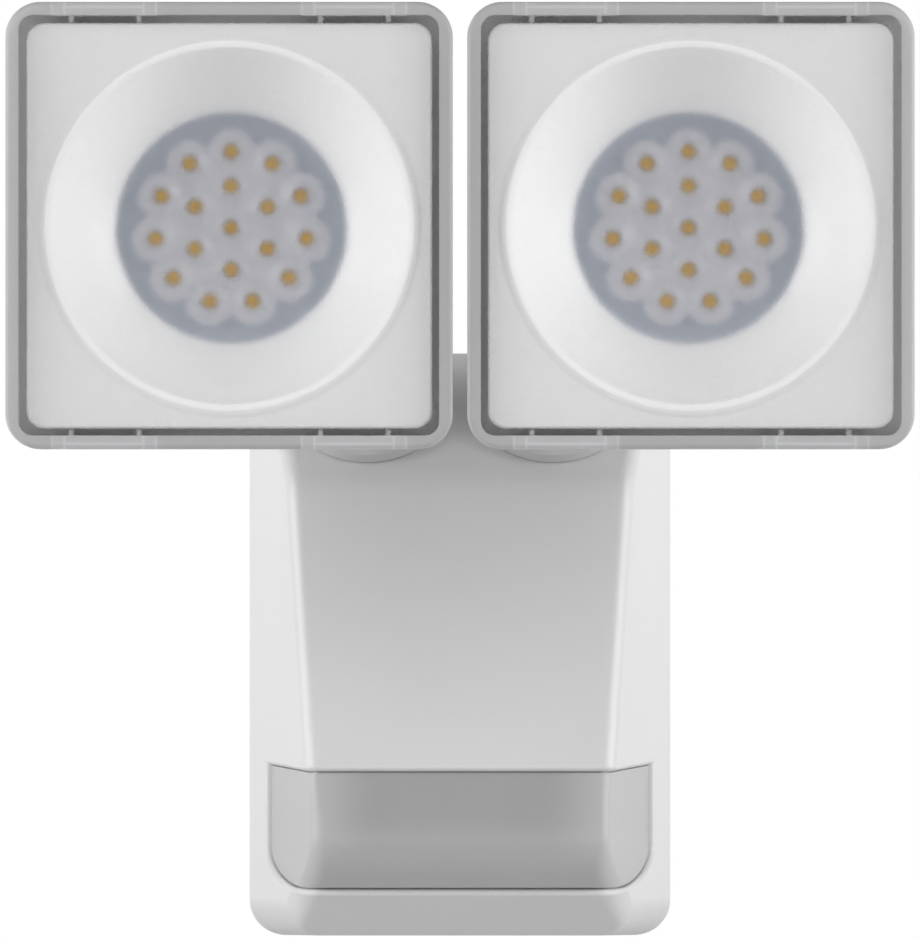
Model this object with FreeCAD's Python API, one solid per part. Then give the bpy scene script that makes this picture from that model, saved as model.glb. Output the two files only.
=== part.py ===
import FreeCAD, Part
import math
import os

# Twin-head wall light with a motion sensor, in millimetres.
# Origin: middle of the wall face. +Z up, +X to the right seen from the front, the front looks along -Y.
# "Depth" is the distance out from the wall, so a point at depth d lies at Y = -d. "Level" is its height, Z.

# Body: a wedge that narrows away from the wall, with a 45 degree roof, a leaning front and a chin
BODY_WIDTH = 97.3
BODY_HEIGHT = 134.4
SIDE_TAPER = 0.238
UNDERSIDE_SLOPE = 3.4
WALL_CORNER_RADIUS = 8.3
FRONT_EDGE_RADIUS = 3.5
UNDERSIDE_EDGE_RADIUS = 1.8
SMALLEST_EDGE_RADIUS = 0.4
CHIN_EDGE_RADIUS = 6.0
CHIN_EDGE_LEVEL = -44.0
ROOF_START_DEPTH = 12.5
ROOF_ANGLE = 45.0
ROOF_FOOT_RADIUS = 12.0
FRONT_LEAN = 16.2
BROW_DEPTH = 60.0
BROW_LEVEL = -26.0
BROW_RADIUS = 24.0
CHIN_ANGLE = -57.0
CHIN_DEPTH = 36.5
CHIN_LEVEL = -65.0
CHIN_RADIUS = 12.0
HOUSING_WALL = 3.0
TAPER_LENGTH = 80.0

# Sensor window: a wrap-round panel, sunk in a rebate with round edges, its outline drawn in the side view
WINDOW_TOP = -26.9
WINDOW_BOTTOM = -53.7
WINDOW_REAR = 17.4
WINDOW_LEAN = 7.5
WINDOW_CORNER_LENGTH = 32.0
WINDOW_CORNER_HEIGHT = 8.0
WINDOW_SINK = 1.2
WINDOW_THICKNESS = 1.0
WINDOW_GROOVE = 0.4
WINDOW_EDGE_RADIUS = 0.9
WINDOW_LEDGE = 2.6

# Wall plate, seal, cable entry and the screws that hold the housing on
PLATE_THICKNESS = 2.5
PLATE_HALF_WIDTH = 44.4
PLATE_HALF_HEIGHT = 63.4
PLATE_RIM_REACH = 5.0
SLOT_SPACING = 60.0
SLOT_WIDTH = 5.0
SLOT_LENGTH = 12.0
HOLE_SPACING = 96.0
INLET_LEVEL = 20.0
INLET_RADIUS = 4.0
GROMMET_NECK = 6.5
GROMMET_LIP = 8.5
GROMMET_LIP_THICKNESS = 1.0
GROMMET_NOSE = 5.4
GROMMET_REACH = 9.0
GASKET_DEPTH = 1.5
SCREW_X = 31.0
SCREW_DEPTH = 9.0
SCREW_SEAT = -63.4
SCREW_SHANK_RADIUS = 1.95
SCREW_HOLE_RADIUS = 2.3
SCREW_HEAD_RADIUS = 3.5
SCREW_WELL_RADIUS = 3.9
TERMINAL_WIDTH = 28.0
TERMINAL_LOW = -34.0
TERMINAL_HEIGHT = 14.0
TERMINAL_DEPTH = 14.0
TERMINAL_PITCH = 9.0

# Boards
DRIVER_HALF_WIDTH = 36.0
DRIVER_LOW = -20.0
DRIVER_HIGH = 32.0
DRIVER_DEPTH = 19.0
BOARD_THICKNESS = 1.6
POST_RADIUS = 3.0
POST_INSET = 4.0
BOARD_SCREW_RADIUS = 1.2
SENSOR_DEPTH = 44.0
SENSOR_HALF_WIDTH = 17.0
SENSOR_LEVEL = -40.0
CONTROL_LEVEL = -50.6

# Setting dials, in a recess in the underside
DIAL_SPACING = 14.0
DIAL_DEPTH = 25.0
DIAL_FLOOR = -61.0
DIAL_SHAFT_RADIUS = 3.0
DIAL_HEAD_RADIUS = 4.9
DIAL_HEAD_HEIGHT = 2.6
DIAL_RECESS_HALF = 7.5
TRIMMER_SIZE = 8.0
TRIMMER_HEIGHT = 3.0

# Swivel arms: a stem and flange in the roof, a neck square to it, a bend, and a level spigot for the head
SWIVEL_X = 21.1
SWIVEL_DEPTH = 25.8
NECK_LENGTH = 55.3
STEM_RADIUS = 9.0
STEM_LENGTH = 14.0
SEAT_LENGTH = 7.0
FLANGE_RADIUS = 17.0
FLANGE_TOP = 3.9
FOOT_RADIUS = 11.5
FOOT_HEIGHT = 12.0
SEAL_OUTER = 13.6
SEAL_INNER = 11.2
TUBE_RADIUS = 7.0
WIRE_BORE_RADIUS = 3.5
BEND_RADIUS = 13.0
SHOULDER_RADIUS = 9.5
SHOULDER_LENGTH = 3.4
WASHER_THICKNESS = 0.8
NUT_HEIGHT = 4.2
NUT_CORNER_RADIUS = 13.0
CAP_RADIUS = 10.5
RUNNING_GAP = 0.05
FACE_GAP = 0.3

# Heads: square lamps under a frosted box cover
HEAD_X = 49.7
HEAD_LEVEL = 93.0
HEAD_SIZE = 96.3
HEAD_CORNER = 7.6
COVER_FRONT_DEPTH = 120.0
COVER_REAR_DEPTH = 105.0
COVER_PANE = 2.0
COVER_SKIRT = 2.9
COVER_INNER_CORNER = 3.2
COVER_EDGE_RADIUS = 1.1
CLIP_X = 26.9
CLIP_WIDTH = 22.0
CLIP_THICKNESS = 1.6
CLIP_DEPTH = 115.8
CLIP_RIB_X = 7.3
CLIP_RIB_WIDTH = 1.0
PLATE_FACE_DEPTH = 116.6
REFLECTOR_SIZE = 87.3
REFLECTOR_CORNER = 3.5
REFLECTOR_WALL = 1.3
REFLECTOR_SKIRT_SIZE = 84.4
BEAD_FOOT = 41.2
BEAD_CREST = 39.3
BEAD_HEIGHT = 0.9
BOWL_MOUTH = 37.2
BOWL_WAIST = 32.4
BOWL_WAIST_HEIGHT = 6.6
BOWL_FLOOR = 25.1
LED_BOARD_DEPTH = 99.6
LED_BOARD_RADIUS = 30.0
CASING_BOX_SIZE = 92.0
CASING_BOX_DEPTH = 96.0
CASING_REAR_SIZE = 72.0
CASING_REAR_DEPTH = 84.0
CASING_FLANGE = 3.0
POCKET_SIZE = 85.0
FIN_COUNT = 11
FIN_PITCH = 6.2
FIN_THICKNESS = 2.0
FIN_DEPTH = 76.5
SLEEVE_LENGTH = 23.4
SLEEVE_RADIUS = 11.0
LED_SIZE = 3.0
LED_HEIGHT = 0.8
LED_RINGS = ((1, 0.0), (6, 9.1), (11, 16.6))
PETAL_RADIUS = 5.1
LENS_THICKNESS = 1.0

X_AXIS = FreeCAD.Vector(1, 0, 0)
Y_AXIS = FreeCAD.Vector(0, 1, 0)
Z_AXIS = FreeCAD.Vector(0, 0, 1)
ORIGIN = FreeCAD.Vector(0, 0, 0)
ROOF_NORMAL = FreeCAD.Vector(0, -math.sin(math.radians(ROOF_ANGLE)), math.cos(math.radians(ROOF_ANGLE)))


def at(x, depth, level):
    return FreeCAD.Vector(x, -depth, level)


SWIVEL_POINT = at(SWIVEL_X, SWIVEL_DEPTH, BODY_HEIGHT / 2 + ROOF_START_DEPTH - SWIVEL_DEPTH)
ELBOW_POINT = SWIVEL_POINT + ROOF_NORMAL * NECK_LENGTH
SLEEVE_START = HEAD_X - SLEEVE_LENGTH / 2
SLEEVE_END = HEAD_X + SLEEVE_LENGTH / 2
SPIGOT_END = SLEEVE_END + FACE_GAP + 2.2


def save(name, shape):
    """Write one piece, or one group of separate like pieces."""
    shape.exportStep("parts/" + name + ".step")


def mirrored(shape):
    return shape.mirror(ORIGIN, X_AXIS)


def save_pair(name, right_shape):
    """Write a right-hand piece, at +X, and its mirror image at the left."""
    save(name + "_right", right_shape)
    save(name + "_left", mirrored(right_shape))


def both_sides(right_shape):
    return right_shape.fuse(mirrored(right_shape))


def block(x_range, depth_range, level_range):
    """A box between two places on each axis."""
    size = (x_range[1] - x_range[0], depth_range[1] - depth_range[0], level_range[1] - level_range[0])
    return Part.makeBox(*size, at(x_range[0], depth_range[1], level_range[0]))


def forward_rod(radius, x, depth_range, level):
    """A cylinder that points out from the wall."""
    return Part.makeCylinder(radius, depth_range[1] - depth_range[0], at(x, depth_range[0], level), -Y_AXIS)


def rounded_wire(corners, radii):
    """A closed outline through the corners, each rounded by a tangent arc of its own radius."""
    stops = []
    for index, here in enumerate(corners):
        to_before = (corners[index - 1] - here).normalize()
        to_after = (corners[(index + 1) % len(corners)] - here).normalize()
        half_angle = to_before.getAngle(to_after) / 2
        reach = radii[index] / math.tan(half_angle)
        bisector = (to_before + to_after).normalize()
        middle = here + bisector * (radii[index] / math.sin(half_angle) - radii[index])
        stops.append((here + to_before * reach, middle, here + to_after * reach))
    edges = []
    for index, (entry, middle, leave) in enumerate(stops):
        if radii[index] > 0:
            edges.append(Part.Arc(entry, middle, leave).toShape())
        next_entry = stops[(index + 1) % len(stops)][0]
        edges.append(Part.LineSegment(leave, next_entry).toShape())
    return Part.Wire(edges)


def rounded_slab(x_range, level_range, radius, depth_range):
    """An upright plate with round corners, between two depths."""
    far = depth_range[1]
    corners = [
        at(x_range[0], far, level_range[0]),
        at(x_range[1], far, level_range[0]),
        at(x_range[1], far, level_range[1]),
        at(x_range[0], far, level_range[1]),
    ]
    return Part.Face(rounded_wire(corners, [radius] * 4)).extrude(Y_AXIS * (far - depth_range[0]))


def square_slab(size, radius, depth_range):
    """A square plate with round corners, centred on the right head."""
    x_range = (HEAD_X - size / 2, HEAD_X + size / 2)
    level_range = (HEAD_LEVEL - size / 2, HEAD_LEVEL + size / 2)
    return rounded_slab(x_range, level_range, radius, depth_range)


# ---- the body's outer form ----


def tapered_block(start_depth, inset):
    """The body before the side view cuts it: a block narrower and shallower away from the wall."""
    side_inset = inset / math.cos(math.atan(SIDE_TAPER))
    near_half = BODY_WIDTH / 2 - SIDE_TAPER * start_depth - side_inset
    far_half = BODY_WIDTH / 2 - SIDE_TAPER * TAPER_LENGTH - side_inset
    rise = math.tan(math.radians(UNDERSIDE_SLOPE))
    near_low = -BODY_HEIGHT / 2 + start_depth * rise + inset
    far_low = -BODY_HEIGHT / 2 + TAPER_LENGTH * rise + inset
    top = BODY_HEIGHT / 2 - inset
    wedge = Part.makeWedge(
        -far_half, -TAPER_LENGTH, far_low, near_low, -near_half, far_half, -start_depth, top, top, near_half
    )
    long_edges = [edge for edge in wedge.Edges if edge.BoundBox.YLength > TAPER_LENGTH / 2]
    return wedge.makeFillet(WALL_CORNER_RADIUS - inset, long_edges)


def crossing(face_a, face_b, inset):
    """Where two faces of the side view meet, each moved inward. A face is (depth, level, normal angle)."""
    rows = []
    for depth, level, angle in (face_a, face_b):
        cosine = math.cos(math.radians(angle))
        sine = math.sin(math.radians(angle))
        rows.append((cosine, sine, cosine * depth + sine * level - inset))
    (a, b, c), (d, e, f) = rows
    determinant = a * e - b * d
    return (c * e - b * f) / determinant, (a * f - c * d) / determinant


def side_prism(inset):
    """The side view, run across: roof, leaning front, window face and chin, open above and below."""
    beyond = BODY_HEIGHT
    above = (0, beyond, 90)
    roof = (ROOF_START_DEPTH, BODY_HEIGHT / 2, ROOF_ANGLE)
    front = (BROW_DEPTH, BROW_LEVEL, FRONT_LEAN)
    window = (BROW_DEPTH, BROW_LEVEL, WINDOW_LEAN)
    chin = (CHIN_DEPTH, CHIN_LEVEL, CHIN_ANGLE)
    below = (0, -beyond, -90)
    faces = [above, roof, front, window, chin, below]
    places = [(-beyond, -beyond), (-beyond, beyond)]
    places += [crossing(faces[index], faces[index + 1], inset) for index in range(len(faces) - 1)]
    radii = [0, 0, 0, ROOF_FOOT_RADIUS - inset, BROW_RADIUS - inset, CHIN_RADIUS - inset, 0]
    corners = [at(-BODY_WIDTH, depth, level) for depth, level in places]
    return Part.Face(rounded_wire(corners, radii)).extrude(X_AXIS * 2 * BODY_WIDTH)


def edge_radius(point):
    """The rim's radius at a point: even down to the window, widest on the chin, small on the underside."""
    if point.z < CHIN_LEVEL + 1 and abs(point.x) < BODY_WIDTH / 2 - WALL_CORNER_RADIUS:
        return UNDERSIDE_EDGE_RADIUS
    share = (BROW_LEVEL - point.z) / (BROW_LEVEL - CHIN_EDGE_LEVEL)
    return FRONT_EDGE_RADIUS + (CHIN_EDGE_RADIUS - FRONT_EDGE_RADIUS) * min(max(share, 0.0), 1.0)


def body_form(inset):
    """The body drawn in by an inset on every face but the wall face, which it passes by as much.

    Its edges are rounded where the side view cuts the tapered block.
    """
    tapered = tapered_block(-inset, inset)
    across = side_prism(inset)
    drawing = FreeCAD.newDocument("body")
    sharp = drawing.addObject("Part::Feature", "sharp")
    sharp.Shape = tapered.common(across)
    rim = []
    for number, edge in enumerate(sharp.Shape.Edges, start=1):
        middle = Part.Vertex(edge.valueAt((edge.FirstParameter + edge.LastParameter) / 2))
        on_both = middle.distToShape(tapered.Shells[0])[0] + middle.distToShape(across.Shells[0])[0]
        if on_both < 0.001:
            ends = [edge.valueAt(edge.FirstParameter), edge.valueAt(edge.LastParameter)]
            radii = [max(edge_radius(end) - inset, SMALLEST_EDGE_RADIUS) for end in ends]
            rim.append((number, *radii))
    rounded = drawing.addObject("Part::Fillet", "rounded")
    rounded.Base = sharp
    rounded.Edges = rim
    drawing.recompute()
    return rounded.Shape


def window_prism(inset):
    """The window's side-view outline, drawn in by an inset and run right across the body."""
    rear = WINDOW_REAR + inset
    low = WINDOW_BOTTOM + inset
    high = WINDOW_TOP - inset
    corner_depth = WINDOW_REAR + WINDOW_CORNER_LENGTH
    corner_level = WINDOW_BOTTOM + WINDOW_CORNER_HEIGHT
    low_end = at(-BODY_WIDTH, corner_depth, low)
    rear_end = at(-BODY_WIDTH, rear, corner_level)
    centre = at(-BODY_WIDTH, corner_depth, corner_level)
    quarter = Part.Ellipse(rear_end, low_end, centre)
    outline = [
        Part.Arc(quarter, 0, math.pi / 2).toShape(),
        Part.makeLine(low_end, at(-BODY_WIDTH, TAPER_LENGTH, low)),
        Part.makeLine(at(-BODY_WIDTH, TAPER_LENGTH, low), at(-BODY_WIDTH, TAPER_LENGTH, high)),
        Part.makeLine(at(-BODY_WIDTH, TAPER_LENGTH, high), at(-BODY_WIDTH, rear, high)),
        Part.makeLine(at(-BODY_WIDTH, rear, high), rear_end),
    ]
    return Part.Face(Part.Wire(outline)).extrude(X_AXIS * 2 * BODY_WIDTH)


def cut_rebate(outside, ledge_solid):
    """The body with the window's rebate cut in it, and the rebate's outer edges rounded."""
    opening = window_prism(0.0)
    sharp = outside.cut(outside.cut(ledge_solid).common(opening))
    rim = []
    for edge in sharp.Edges:
        middle = Part.Vertex(edge.valueAt((edge.FirstParameter + edge.LastParameter) / 2))
        on_both = middle.distToShape(outside.Shells[0])[0] + middle.distToShape(opening.Shells[0])[0]
        if on_both < 0.001:
            rim.append(edge)
    return sharp.makeFillet(WINDOW_EDGE_RADIUS, rim)


# ---- the housing and what closes it ----


def swivel_cylinder(radius, low, high):
    """A cylinder on the right-hand swivel axis between two heights over the roof."""
    return Part.makeCylinder(radius, high - low, SWIVEL_POINT + ROOF_NORMAL * low, ROOF_NORMAL)


def driver_screw_places():
    for x in (POST_INSET - DRIVER_HALF_WIDTH, DRIVER_HALF_WIDTH - POST_INSET):
        for level in (DRIVER_LOW + POST_INSET, DRIVER_HIGH - POST_INSET):
            yield x, level


def make_housing(outside, cavity, seal_groove):
    """The moulded shell: walls, window rebate, swivel seats, board posts, dial recess and screw holes."""
    seats = both_sides(swivel_cylinder(STEM_RADIUS + 4, -SEAT_LENGTH, -0.5))
    posts = [
        forward_rod(POST_RADIUS, x, (DRIVER_DEPTH, TAPER_LENGTH), level)
        for x, level in driver_screw_places()
    ]
    boss_depths = (PLATE_RIM_REACH + 0.4, SCREW_DEPTH + 5)
    boss_levels = (-BODY_HEIGHT / 2, SCREW_SEAT + 2.4)
    bosses = [block((x - 5, x + 5), boss_depths, boss_levels) for x in (-SCREW_X, SCREW_X)]
    shelf_low = WINDOW_TOP + 1.0
    sensor_shelf = block(
        (-SENSOR_HALF_WIDTH, SENSOR_HALF_WIDTH), (SENSOR_DEPTH - 12, TAPER_LENGTH), (shelf_low, shelf_low + 2)
    )
    pad_half = DIAL_RECESS_HALF + 1.5
    dial_pad = block(
        (-DIAL_SPACING - pad_half - 1, DIAL_SPACING + pad_half + 1),
        (DIAL_DEPTH - pad_half, DIAL_DEPTH + pad_half),
        (-BODY_HEIGHT / 2, DIAL_FLOOR + 3.0),
    )
    inner = seats.multiFuse(posts + bosses + [dial_pad, sensor_shelf]).common(outside)
    housing = outside.cut(cavity).fuse(inner)
    cuts = [
        window_prism(WINDOW_LEDGE).cut(block((-BODY_WIDTH, BODY_WIDTH), (0, 30), (-BODY_HEIGHT, 0))),
        both_sides(swivel_cylinder(STEM_RADIUS + RUNNING_GAP, -40, 30)),
        dial_recess(),
        seal_groove,
    ]
    for x, level in driver_screw_places():
        cuts.append(forward_rod(BOARD_SCREW_RADIUS, x, (DRIVER_DEPTH - 1, DRIVER_DEPTH + 7), level))
    for x in (-DIAL_SPACING, 0, DIAL_SPACING):
        foot = at(x, DIAL_DEPTH, DIAL_FLOOR - 4)
        cuts.append(Part.makeCylinder(DIAL_SHAFT_RADIUS + RUNNING_GAP, 12, foot, Z_AXIS))
    for x in (-SCREW_X, SCREW_X):
        foot = at(x, SCREW_DEPTH, -BODY_HEIGHT / 2)
        cuts.append(Part.makeCylinder(SCREW_HOLE_RADIUS, 10, foot, Z_AXIS))
        cuts.append(Part.makeCylinder(SCREW_WELL_RADIUS, SCREW_SEAT + BODY_HEIGHT / 2, foot, Z_AXIS))
    return housing.cut(cuts)


def dial_recess():
    """A slot with round ends, sunk upward into the underside."""
    half = DIAL_RECESS_HALF
    half_length = DIAL_SPACING + half
    corners = [
        at(-half_length, DIAL_DEPTH + half, DIAL_FLOOR - 10),
        at(half_length, DIAL_DEPTH + half, DIAL_FLOOR - 10),
        at(half_length, DIAL_DEPTH - half, DIAL_FLOOR - 10),
        at(-half_length, DIAL_DEPTH - half, DIAL_FLOOR - 10),
    ]
    return Part.Face(rounded_wire(corners, [half - 0.1] * 4)).extrude(Z_AXIS * 10)


def seal_ring():
    """The foam seal in the housing's rear rim."""
    rings = []
    for inset in (0.8, 2.0):
        across = (inset - BODY_WIDTH / 2, BODY_WIDTH / 2 - inset)
        upright = (inset - BODY_HEIGHT / 2, BODY_HEIGHT / 2 - inset)
        rings.append(rounded_slab(across, upright, WALL_CORNER_RADIUS - inset, (0, GASKET_DEPTH)))
    return rings[0].cut(rings[1])


def wall_slot(x, level):
    """A level slot through the wall plate, centred on its place."""
    half_width = SLOT_WIDTH / 2
    across = (x - SLOT_LENGTH / 2, x + SLOT_LENGTH / 2)
    return rounded_slab(across, (level - half_width, level + half_width), half_width - 0.001, (-1, 5))


def make_wall_plate():
    """A flat plate with a stiffening rim, screw slots, a cable hole and two lugs for the housing screws."""
    slabs = []
    for inset, reach in ((0, PLATE_THICKNESS), (1.6, PLATE_RIM_REACH), (3.4, PLATE_RIM_REACH)):
        across = (inset - PLATE_HALF_WIDTH, PLATE_HALF_WIDTH - inset)
        upright = (inset - PLATE_HALF_HEIGHT, PLATE_HALF_HEIGHT - inset)
        slabs.append(rounded_slab(across, upright, 4.5 - inset / 2, (0, reach)))
    plate, rim_outside, rim_inside = slabs
    lug_levels = (SCREW_SEAT + 2.6, SCREW_SEAT + 10.6)
    lugs = [block((x - 5, x + 5), (0, SCREW_DEPTH + 5), lug_levels) for x in (-SCREW_X, SCREW_X)]
    plate = plate.multiFuse([rim_outside.cut(rim_inside)] + lugs)
    cuts = [wall_slot(-SLOT_SPACING / 2, 0), wall_slot(SLOT_SPACING / 2, 0)]
    for level in (-HOLE_SPACING / 2, HOLE_SPACING / 2):
        cuts.append(forward_rod(SLOT_WIDTH / 2, 0, (-1, 8), level))
    cuts.append(forward_rod(GROMMET_NECK, 0, (-1, 8), INLET_LEVEL))
    cuts.append(forward_rod(GROMMET_LIP + 0.2, 0, (-1, 1), INLET_LEVEL))
    for x in (-SCREW_X, SCREW_X):
        cuts.append(Part.makeCylinder(SCREW_SHANK_RADIUS, 12, at(x, SCREW_DEPTH, SCREW_SEAT), Z_AXIS))
    return plate.cut(cuts)


def make_grommet():
    """A rubber sleeve gripping the plate between two lips, with a tapering nose."""
    lip = GROMMET_LIP_THICKNESS
    profile = [
        (INLET_RADIUS, 0),
        (GROMMET_LIP, 0),
        (GROMMET_LIP, lip),
        (GROMMET_NECK, lip),
        (GROMMET_NECK, PLATE_THICKNESS),
        (GROMMET_LIP, PLATE_THICKNESS),
        (GROMMET_LIP, PLATE_THICKNESS + lip),
        (GROMMET_NOSE, GROMMET_REACH),
        (INLET_RADIUS, GROMMET_REACH),
    ]
    points = [at(radius, depth, INLET_LEVEL) for radius, depth in profile]
    face = Part.Face(Part.makePolygon(points + points[:1]))
    return face.revolve(at(0, 0, INLET_LEVEL), Y_AXIS, 360)


def make_terminal_block():
    """Three clamp terminals in one moulding: screw wells in front, wire ways from below."""
    low = TERMINAL_LOW
    high = low + TERMINAL_HEIGHT
    shape = block((-TERMINAL_WIDTH / 2, TERMINAL_WIDTH / 2), (PLATE_THICKNESS, TERMINAL_DEPTH), (low, high))
    cuts = []
    for x in (-TERMINAL_PITCH, 0, TERMINAL_PITCH):
        cuts.append(forward_rod(2.4, x, (TERMINAL_DEPTH - 4, TERMINAL_DEPTH + 1), (low + high) / 2))
        cuts.append(Part.makeCylinder(1.7, 9, at(x, TERMINAL_DEPTH / 2, low - 1), Z_AXIS))
    for x in (-TERMINAL_PITCH / 2, TERMINAL_PITCH / 2):
        cuts.append(block((x - 0.4, x + 0.4), (TERMINAL_DEPTH - 3, TERMINAL_DEPTH + 1), (low - 1, high + 1)))
    return shape.cut(cuts)


def make_body_screws():
    """The two screws that go up through the underside into the plate's lugs."""
    screws = []
    for x in (-SCREW_X, SCREW_X):
        shank = Part.makeCylinder(SCREW_SHANK_RADIUS, 11.6, at(x, SCREW_DEPTH, SCREW_SEAT - 0.4), Z_AXIS)
        head = Part.makeCylinder(SCREW_HEAD_RADIUS, 1.4, at(x, SCREW_DEPTH, SCREW_SEAT - 1.4), Z_AXIS)
        slot_depths = (SCREW_DEPTH - 0.4, SCREW_DEPTH + 0.4)
        drive = block((x - 3, x + 3), slot_depths, (SCREW_SEAT - 2, SCREW_SEAT - 0.8))
        screws.append(shank.fuse(head).cut(drive))
    return Part.makeCompound(screws)


def make_boards():
    """The driver board on its posts, the upright sensor board and the level dial board."""
    rear = DRIVER_DEPTH - BOARD_THICKNESS
    driver = block((-DRIVER_HALF_WIDTH, DRIVER_HALF_WIDTH), (rear, DRIVER_DEPTH), (DRIVER_LOW, DRIVER_HIGH))
    screws = []
    for x, level in driver_screw_places():
        driver = driver.cut(forward_rod(BOARD_SCREW_RADIUS, x, (rear - 1, DRIVER_DEPTH + 1), level))
        shank = forward_rod(BOARD_SCREW_RADIUS, x, (rear - 0.5, DRIVER_DEPTH + 6), level)
        screws.append(shank.fuse(forward_rod(2.5, x, (rear - 1.5, rear), level)))
    save("driver_board", driver)
    save("board_screws", Part.makeCompound(screws))
    transformer = block((-27, -5), (DRIVER_DEPTH, DRIVER_DEPTH + 15), (-10, 10))
    relay = block((6, 24), (DRIVER_DEPTH, DRIVER_DEPTH + 9), (14, 25))
    suppressor = block((-20, -8), (DRIVER_DEPTH, DRIVER_DEPTH + 8), (16, 22))
    capacitors = [
        forward_rod(5.0, 10, (DRIVER_DEPTH, DRIVER_DEPTH + 14), -10),
        forward_rod(5.0, 22, (DRIVER_DEPTH, DRIVER_DEPTH + 14), -6),
        forward_rod(4.0, 12, (DRIVER_DEPTH, DRIVER_DEPTH + 10), 5),
    ]
    save("driver_components", Part.makeCompound([transformer, relay, suppressor] + capacitors))
    sensor_depths = (SENSOR_DEPTH - BOARD_THICKNESS, SENSOR_DEPTH)
    sensor = block((-SENSOR_HALF_WIDTH, SENSOR_HALF_WIDTH), sensor_depths, (CONTROL_LEVEL, WINDOW_TOP + 1.0))
    save("sensor_board", sensor)
    control_low = CONTROL_LEVEL - BOARD_THICKNESS
    save("control_board", block((-22, 22), (DIAL_DEPTH - 9, SENSOR_DEPTH), (control_low, CONTROL_LEVEL)))
    half = TRIMMER_SIZE / 2
    trimmers = []
    for x in (-DIAL_SPACING, 0, DIAL_SPACING):
        depths = (DIAL_DEPTH - half, DIAL_DEPTH + half)
        trimmers.append(block((x - half, x + half), depths, (control_low - TRIMMER_HEIGHT, control_low)))
    save("dial_potentiometers", Part.makeCompound(trimmers))
    can = forward_rod(4.6, 0, (SENSOR_DEPTH, SENSOR_DEPTH + 4.2), SENSOR_LEVEL)
    base = forward_rod(5.2, 0, (SENSOR_DEPTH, SENSOR_DEPTH + 0.6), SENSOR_LEVEL)
    filter_levels = (SENSOR_LEVEL - 1.5, SENSOR_LEVEL + 1.5)
    filter_well = block((-2, 2), (SENSOR_DEPTH + 3.9, SENSOR_DEPTH + 5), filter_levels)
    save("infrared_sensor", can.fuse(base).cut(filter_well))


def make_dial(x):
    """A setting dial: a round knob with a screwdriver slot on a shaft up to its potentiometer."""
    shaft_top = CONTROL_LEVEL - BOARD_THICKNESS - TRIMMER_HEIGHT - FACE_GAP
    head_top = DIAL_FLOOR - FACE_GAP
    shaft = Part.makeCylinder(DIAL_SHAFT_RADIUS, shaft_top - head_top, at(x, DIAL_DEPTH, head_top), Z_AXIS)
    head_low = head_top - DIAL_HEAD_HEIGHT
    head = Part.makeCylinder(DIAL_HEAD_RADIUS, DIAL_HEAD_HEIGHT, at(x, DIAL_DEPTH, head_low), Z_AXIS)
    slot = block((x - 4, x + 4), (DIAL_DEPTH - 0.5, DIAL_DEPTH + 0.5), (head_low - 1, head_low + 1.2))
    return shaft.fuse(head).cut(slot)


def make_body():
    ledge_solid = body_form(WINDOW_SINK + WINDOW_THICKNESS)
    outside = cut_rebate(body_form(0.0), ledge_solid)
    seal = seal_ring()
    save("body_housing", make_housing(outside, body_form(HOUSING_WALL), seal))
    save("sensor_window", body_form(WINDOW_SINK).cut(ledge_solid).common(window_prism(WINDOW_GROOVE)))
    save("wall_gasket", seal)
    save("wall_plate", make_wall_plate())
    save("cable_grommet", make_grommet())
    save("terminal_block", make_terminal_block())
    save("housing_screws", make_body_screws())
    make_boards()
    for name, x in (("time_dial", -DIAL_SPACING), ("dusk_dial", 0), ("range_dial", DIAL_SPACING)):
        save(name, make_dial(x))


# ---- arms ----


def arm_path(start_height, end_x):
    """Up the swivel axis, round a quarter bend, and level out along the tilt axis."""
    start = SWIVEL_POINT + ROOF_NORMAL * start_height
    bend_start = ELBOW_POINT - ROOF_NORMAL * BEND_RADIUS
    bend_end = ELBOW_POINT + X_AXIS * BEND_RADIUS
    inward = (X_AXIS - ROOF_NORMAL).normalize()
    bend_middle = ELBOW_POINT + inward * (BEND_RADIUS * (math.sqrt(2) - 1))
    end = FreeCAD.Vector(end_x, ELBOW_POINT.y, ELBOW_POINT.z)
    edges = [
        Part.LineSegment(start, bend_start).toShape(),
        Part.Arc(bend_start, bend_middle, bend_end).toShape(),
        Part.LineSegment(bend_end, end).toShape(),
    ]
    return Part.Wire(edges), start


def arm_tube(start_height, end_x):
    path, start = arm_path(start_height, end_x)
    circle = Part.Wire(Part.makeCircle(TUBE_RADIUS, start, ROOF_NORMAL))
    return path.makePipeShell([circle], True, False)


def tilt_rod(radius, start_x, end_x):
    """A cylinder on the right-hand tilt axis."""
    start = FreeCAD.Vector(start_x, ELBOW_POINT.y, ELBOW_POINT.z)
    return Part.makeCylinder(radius, end_x - start_x, start, X_AXIS)


def make_arm_foot():
    """The stem, the flange with its bevelled rim, and the neck's conical foot, turned as one."""
    bevel = 1.3
    profile = [
        (0, -STEM_LENGTH),
        (STEM_RADIUS, -STEM_LENGTH),
        (STEM_RADIUS, FACE_GAP),
        (FLANGE_RADIUS, FACE_GAP),
        (FLANGE_RADIUS, FLANGE_TOP - bevel),
        (FLANGE_RADIUS - bevel, FLANGE_TOP),
        (FOOT_RADIUS, FLANGE_TOP),
        (TUBE_RADIUS, FOOT_HEIGHT),
        (0, FOOT_HEIGHT),
    ]
    points = [SWIVEL_POINT + X_AXIS * radius + ROOF_NORMAL * height for radius, height in profile]
    return Part.Face(Part.makePolygon(points + points[:1])).revolve(SWIVEL_POINT, ROOF_NORMAL, 360)


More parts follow.
